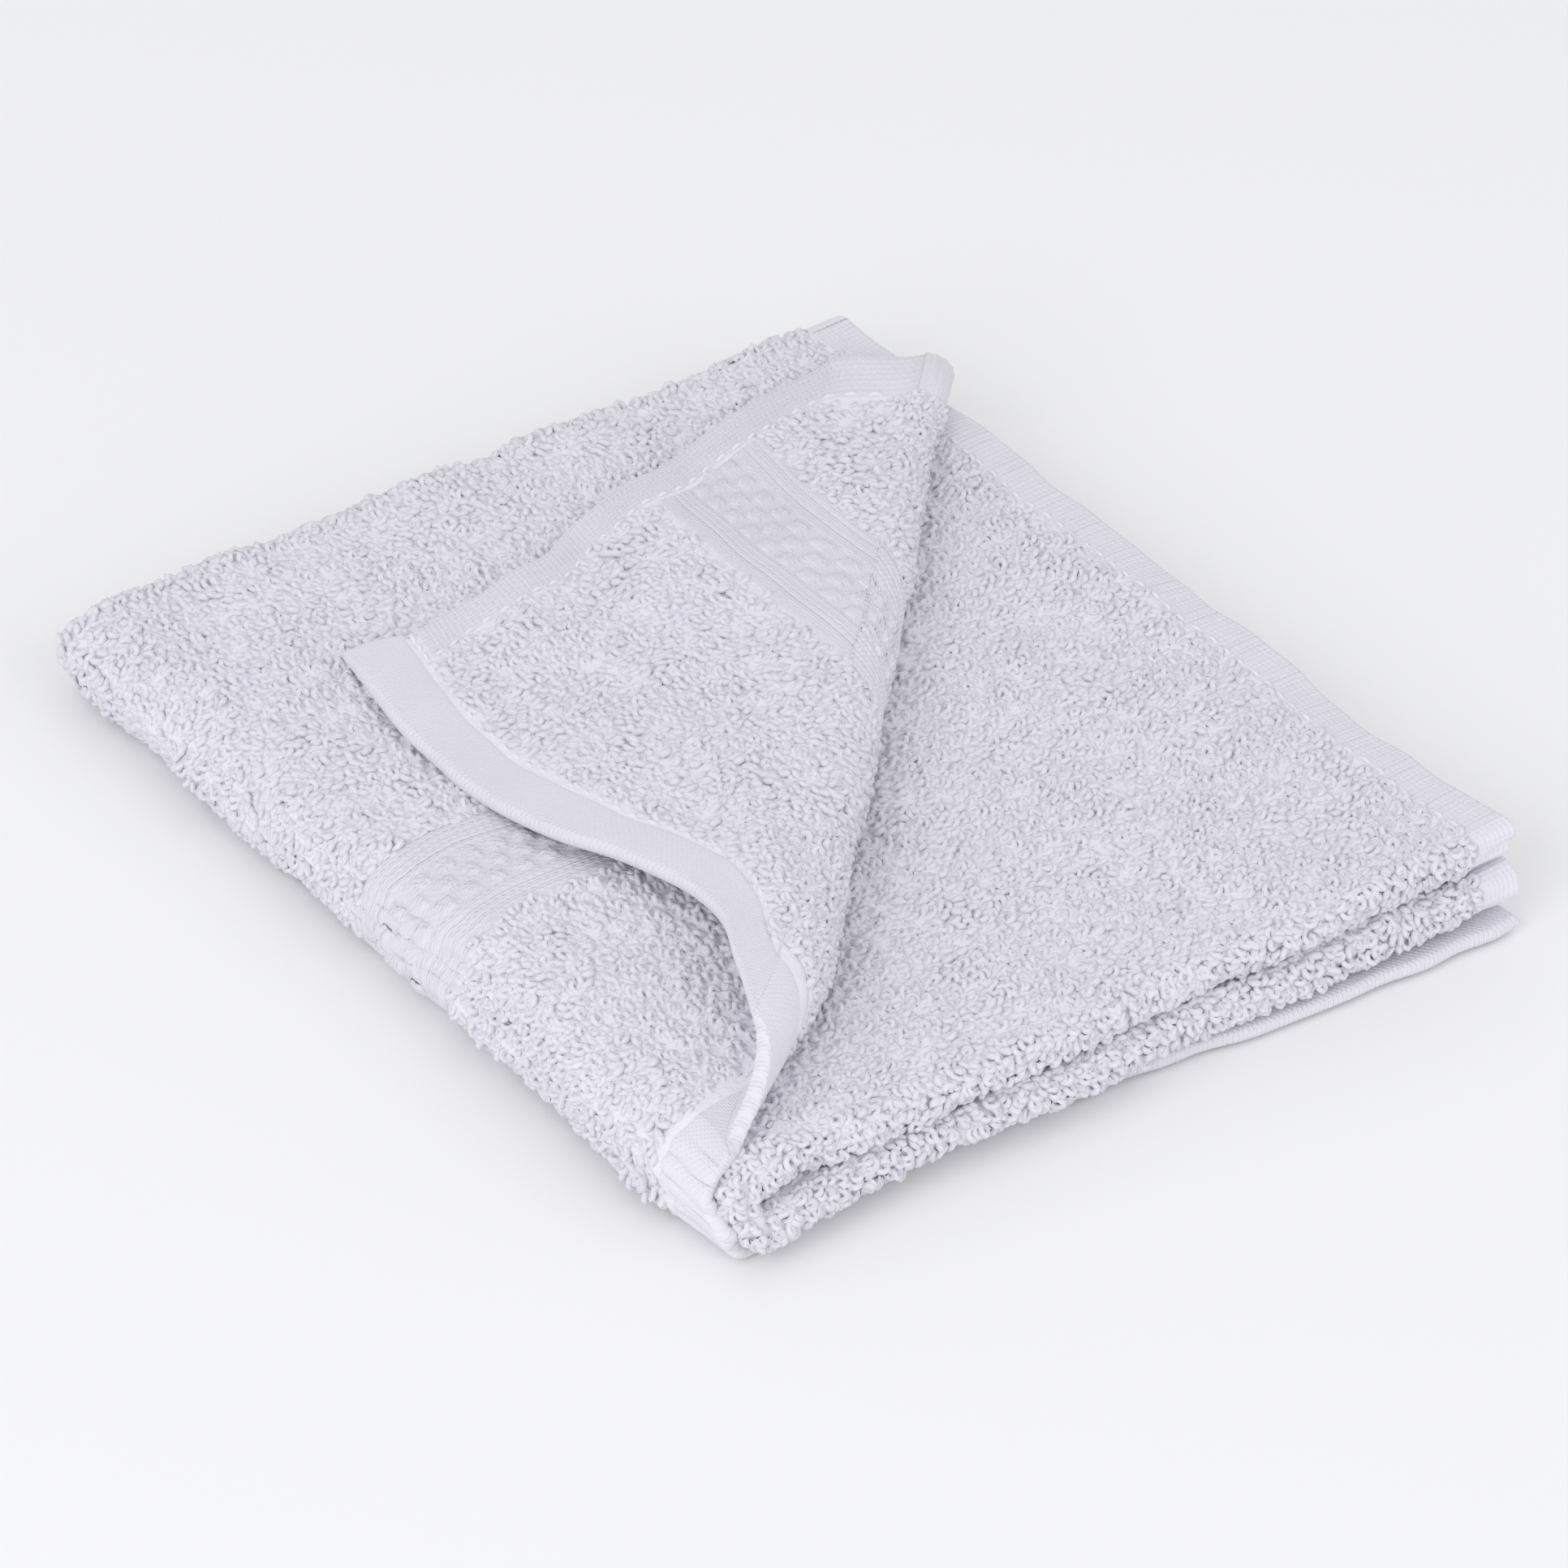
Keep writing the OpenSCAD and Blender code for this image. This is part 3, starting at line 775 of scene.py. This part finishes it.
def build_spine():
    """The cloth that goes round the spine, strip by strip, with its loops."""
    made = []
    back_middle = (BACK_CREASE + MIDDLE_PANEL) / 2
    front_middle = (FRONT_CREASE + INNER_PANEL) / 2
    # Where the cloth of each of the three panels is divided
    outer_cut, middle_cut, inner_cut = 125.0, 250.0, 400.0
    strips = [
        ("hem", EDGE, END_HEM), ("end", END_HEM, BORDER_START), ("border", BORDER_START, BORDER_END),
        ("near", BORDER_END, outer_cut), ("far", outer_cut, back_middle),
        ("middle_back", back_middle, middle_cut), ("middle_front", middle_cut, front_middle),
        ("inner_front", front_middle, inner_cut), ("inner_back", inner_cut, TOWEL_END - EDGE),
    ]
    for title, start, end in strips:
        rounded = (0, 0, int(title == "hem"), int(title == "inner_back"))
        piece = shell(
            f"spine_{title}_cloth", round_spine, (-1, 1, start, end), GROUND, terry_ground,
            step=(0.08, 1.6), rounded=rounded, unit=(SPINE_ARC, 1),
        )
        bend_round_spine(piece, start, end)
        made += in_slot([piece])
    hem = shell(
        "spine_end_hem", round_spine, (-1, 1, 0, END_HEM), HEM, plain_hem, step=(0.015, 0.7),
        rounded=(0, 0, 1, 1), relief=lambda turn, s: hem_ticks(round_to(turn), s),
        unit=(SPINE_ARC, 1),
    )
    bend_round_spine(hem, 0, END_HEM)
    border = shell(
        "spine_border", round_spine, (-1, 1, BORDER_START, BORDER_END), GROUND + 0.2, dobby,
        step=(0.02, 0.35), rounded=(0, 0, 1, 1),
        relief=lambda turn, s: dobby_relief(s - BORDER_START, round_to(turn)),
        unit=(SPINE_ARC, 1),
    )
    bend_round_spine(border, BORDER_START, BORDER_END)
    made += in_slot([hem]) + in_slot([border])
    looped = [
        ("end", END_HEM - 0.4, BORDER_START + 0.2, 1), ("near", BORDER_END - 0.2, outer_cut, 1),
        ("far", outer_cut, BACK_CREASE, 1), ("turn", BACK_CREASE, back_middle, 1),
        ("back", back_middle, MIDDLE_PANEL, 1), ("front", FRONT_CREASE - 1, front_middle, -1),
        ("inner", front_middle, INNER_PANEL + 1, -1),
    ]
    for number, (title, start, end, face) in enumerate(looped):
        for piece in pile(
            f"spine_{title}_pile", round_spine, (-1, 1, start, end), face, 300 + number,
        ):
            bend_round_spine(piece, start, end)
            made += in_slot([piece])
    return made


def between(low, high):
    """A bound on the roll that goes from one place along the fold to another as it turns."""
    def bound(turn):
        return low + (high - low) * turn
    return bound


def along_fold(a):
    """Where the line a in from the corner's end hem meets the fold line."""
    return HEM_AT_FOLD[0] + (SIDE_AT_FOLD[0] - HEM_AT_FOLD[0]) * a / SIDE_EDGE


def at_depth(y):
    """Where a line of constant y on the top layer meets the fold line."""
    return (y - FOLD_AT[1]) / ALONG[1]


def bend_round_roll(piece, along):
    """Bakes the piece's place into its mesh. The roll's ends at the top layer and at the turned corner,
    at this place along the fold, are worked out but not used."""
    low = on_roll(np.array([along]), np.array([0.0]))[0]
    high = on_roll(np.array([along]), np.array([1.0]))[0]
    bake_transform(piece)


def build_roll():
    """The open roll between the top layer and the turned corner, in strips along the fold."""
    made = []
    hem_low, hem_high = at_depth(HEM_FRONT), HEM_AT_FOLD[0]
    inner_low, inner_high = at_depth(HEM_FRONT + END_HEM), along_fold(END_HEM)
    border_low, border_high = at_depth(HEM_FRONT + BORDER_START), along_fold(CORNER_BORDER)
    panel_low, panel_high = at_depth(HEM_FRONT + BORDER_END), along_fold(CORNER_PANEL)
    side_low, side_high = ROLL_SIDE_HEM, along_fold(SIDE_EDGE * (1 - SIDE_HEM_WIDTH / HEM_EDGE))
    edge_low, edge_high = ROLL_SIDE_EDGE, SIDE_AT_FOLD[0]
    first = ((inner_low + border_low) / 2, (inner_high + border_high) / 2)
    second = ((panel_low + side_low) / 2, (panel_high + side_high) / 2)
    lines = {
        "hem": (hem_low + 1, hem_high + 1, inner_low, inner_high),
        "end": (inner_low, inner_high, *first), "near": (*first, border_low, border_high),
        "border": (border_low, border_high, panel_low, panel_high),
        "far": (panel_low, panel_high, *second), "side": (*second, side_low, side_high),
        "edge": (side_low, side_high, edge_low - 1, edge_high - 1),
    }
    for title, (low, high, next_low, next_high) in lines.items():
        centre = (low + high + next_low + next_high) / 4
        bounds = (between(low, high), between(next_low, next_high), 0, 1)
        piece = shell(
            f"roll_{title}_cloth", round_roll, bounds, GROUND, terry_ground, step=(2, 0.07),
            rounded=(int(title == "hem"), int(title == "edge"), 0, 0), unit=(1, ROLL_ARC),
        )
        bend_round_roll(piece, centre)
        made += in_slot([piece])
        if title in ("end", "near", "far", "side"):
            for face in (1, -1):
                side_name = "outer" if face > 0 else "inner"
                for loose in pile(
                    f"roll_{title}_{side_name}_pile", round_roll, bounds, face, 400 + len(made),
                ):
                    bend_round_roll(loose, centre)
                    made += in_slot([loose])
    hem = shell(
        "roll_end_hem", round_roll, (between(hem_low, hem_high), between(inner_low, inner_high), 0, 1),
        HEM, plain_hem, step=(0.7, 0.02), rounded=(1, 1, 0, 0), unit=(1, ROLL_ARC),
        relief=lambda p, t: hem_ticks(ROLL_ARC * t, (p - between(hem_low, hem_high)(t)) * 0.7),
    )
    bend_round_roll(hem, (hem_low + inner_high) / 2)

    def border_pattern(along, turn):
        start = between(border_low, border_high)(turn)
        end = between(panel_low, panel_high)(turn)
        into = (along - start) / (end - start) * (BORDER_END - BORDER_START)
        from_side = (SIDE_AT_FOLD[0] - along) / (SIDE_AT_FOLD[0] - HEM_AT_FOLD[0])
        return dobby_relief(into, HEM_EDGE * from_side + ROLL_ARC * (1 - turn))

    border = shell(
        "roll_border", round_roll,
        (between(border_low, border_high), between(panel_low, panel_high), 0, 1),
        GROUND + 0.2, dobby, step=(0.5, 0.04), rounded=(1, 1, 0, 0), unit=(1, ROLL_ARC),
        relief=border_pattern,
    )
    bend_round_roll(border, (border_low + panel_high) / 2)
    side = shell(
        "roll_side_hem", round_roll, (between(side_low, side_high), between(edge_low, edge_high), 0, 1),
        HEM, ribbed_hem, step=(0.9, 0.03), rounded=(1, 1, 0, 0), unit=(1, ROLL_ARC),
        relief=lambda p, t: side_ribs(TIGHT_ARC * t, (p - side_high) * 0.7),
    )
    bend_round_roll(side, (side_low + edge_high) / 2)
    made += in_slot([hem]) + in_slot([border])
    return made + in_slot([side])


def build_corner():
    """The turned corner: cloth, hems, border, stitches, and loops on both faces."""
    def to_fold(a):
        return HEM_EDGE * (1 - a / SIDE_EDGE) + SEAM

    def to_side(b):
        return SIDE_EDGE * (1 - b / HEM_EDGE) + SEAM

    def by_side(b, a):
        return on_corner(a, b)

    across = facing(by_side, 1)
    along_last = SIDE_EDGE * (1 - SIDE_HEM_WIDTH / HEM_EDGE)
    cloth = shell(
        "corner_cloth", across, (1.2, to_fold, 1.2, SIDE_EDGE * 0.985), GROUND, terry_ground,
        step=(2, 2), rounded=(1, 0, 1, 0),
    )
    in_slot([cloth])
    end_hem = shell(
        "corner_end_hem_cloth", across, (0, to_fold, 0, END_HEM), HEM, plain_hem, step=(0.3, 0.7),
        rounded=(1, 0, 1, 1), relief=lambda b, a: hem_ticks(b, a),
    )
    side_hem = shell(
        "corner_side_hem_cloth", turned_corner, (END_HEM - 0.5, to_side, 0, SIDE_HEM_WIDTH), HEM - 0.1,
        ribbed_hem, step=(0.27, 0.8), rounded=(1, 0, 1, 1),
        relief=lambda a, b: side_ribs(a, SIDE_HEM_WIDTH - b),
    )
    border = shell(
        "corner_border_cloth", across, (SIDE_HEM_WIDTH, to_fold, CORNER_BORDER, CORNER_PANEL),
        GROUND + 0.2, dobby, step=(0.6, 0.35), rounded=(1, 0, 1, 1),
        relief=lambda b, a: dobby_relief(a - CORNER_BORDER, b),
    )
    in_slot([end_hem])
    in_slot([side_hem])
    in_slot([border])
    piles = []
    for face, title in ((-1, "upper"), (1, "lower")):
        face_sign = -face
        piles += pile(
            f"corner_end_{title}_pile", across, (SIDE_HEM_WIDTH, to_fold, END_HEM - 0.4, CORNER_BORDER),
            face_sign, 500 + face,
        )
        piles += pile(
            f"corner_{title}_pile", across, (SIDE_HEM_WIDTH, to_fold, CORNER_PANEL, along_last),
            face_sign, 510 + face,
        )
    in_slot(piles)
    sewn = [
        stitches("corner_end_stitches", across, (SIDE_HEM_WIDTH, HEM_STITCHES),
                 (HEM_EDGE - 14, HEM_STITCHES), SEWN, 1),
        stitches("corner_side_stitches", turned_corner, (END_HEM, SIDE_HEM_WIDTH - 0.9),
                 (SIDE_EDGE - 12, SIDE_HEM_WIDTH - 0.9), HEM - 0.1, 1, pitch=3.4),
        stitches("corner_cross_stitches", across, (0.8, HEM_STITCHES),
                 (SIDE_HEM_WIDTH, HEM_STITCHES), HEM - 0.1, 1, pitch=2.4),
    ]
    in_slot(sewn)
    extras = [end_hem, side_hem, border] + piles + sewn
    ride([cloth] + extras, "turned_corner")
    return cloth, extras


# ---- Stage ----

def build_stage():
    """A pale floor, a soft key light and a pale world."""
    bpy.ops.mesh.primitive_plane_add(size=12, location=(0, 0, -0.0002))
    floor = bpy.context.object
    floor.name = "floor"
    paint = bpy.data.materials.new("floor_paint")
    paint.use_nodes = True
    shader = paint.node_tree.nodes["Principled BSDF"]
    shader.inputs["Base Color"].default_value = (0.96, 0.96, 0.955, 1)
    shader.inputs["Roughness"].default_value = 0.9
    floor.data.materials.append(paint)
    world = bpy.data.worlds.new("studio")
    world.use_nodes = True
    world.node_tree.nodes["Background"].inputs["Color"].default_value = (0.97, 0.975, 1.0, 1)
    world.node_tree.nodes["Background"].inputs["Strength"].default_value = 0.78
    bpy.context.scene.world = world
    bpy.context.scene.view_settings.view_transform = "Standard"
    for name, place, size, power in (
        ("key", (-1.15, -0.45, 0.75), 0.9, 5.5),
        ("fill", (0.4, -1.2, 0.8), 1.2, 2.5),
    ):
        light = bpy.data.lights.new(name, "AREA")
        light.size = size
        light.energy = power
        lamp = bpy.data.objects.new(name, light)
        lamp.location = place
        lamp.rotation_mode = "QUATERNION"
        lamp.rotation_quaternion = (-Vector(place)).to_track_quat("-Z", "Y")
        bpy.context.scene.collection.objects.link(lamp)


def build_camera():
    """The photograph's view: down on the front corner at the spine, slightly rolled."""
    azimuth, elevation, roll = math.radians(-39.5), math.radians(37.0), math.radians(4.0)
    distance = 1.5135
    target = Vector((-0.0007, -0.0028, 0.006))
    back = Vector((
        math.sin(azimuth) * math.cos(elevation), -math.cos(azimuth) * math.cos(elevation),
        math.sin(elevation),
    ))
    data = bpy.data.cameras.new("camera")
    data.lens = 230.4
    data.sensor_width = 36.0
    camera = bpy.data.objects.new("camera", data)
    camera.location = target + back * distance
    camera.rotation_mode = "QUATERNION"
    level = (-back).to_track_quat("-Z", "Y")
    camera.rotation_quaternion = level @ Quaternion((0, 0, 1), roll)
    bpy.context.scene.collection.objects.link(camera)
    bpy.context.scene.camera = camera


build_camera()
build_stage()
lower_cloth, lower_extras = build_half(-1, "lower", lower_half)
upper_cloth, upper_extras = build_half(1, "upper", upper_half)
spine_pieces = build_spine()
roll_pieces = build_roll()
corner_cloth, corner_extras = build_corner()

bodies = frame["record"]["behaviour"]["bodies"]
spine_nodes = [n for n in bodies["lower_half"] if "spine" in n]
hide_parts(*[n for n in bodies["lower_half"] if "spine" not in n])
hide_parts(*spine_nodes)
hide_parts(*[n for n in bodies["upper_half"] if n != "corner_roll"])
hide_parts("corner_roll")
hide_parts(*bodies["turned_corner"])
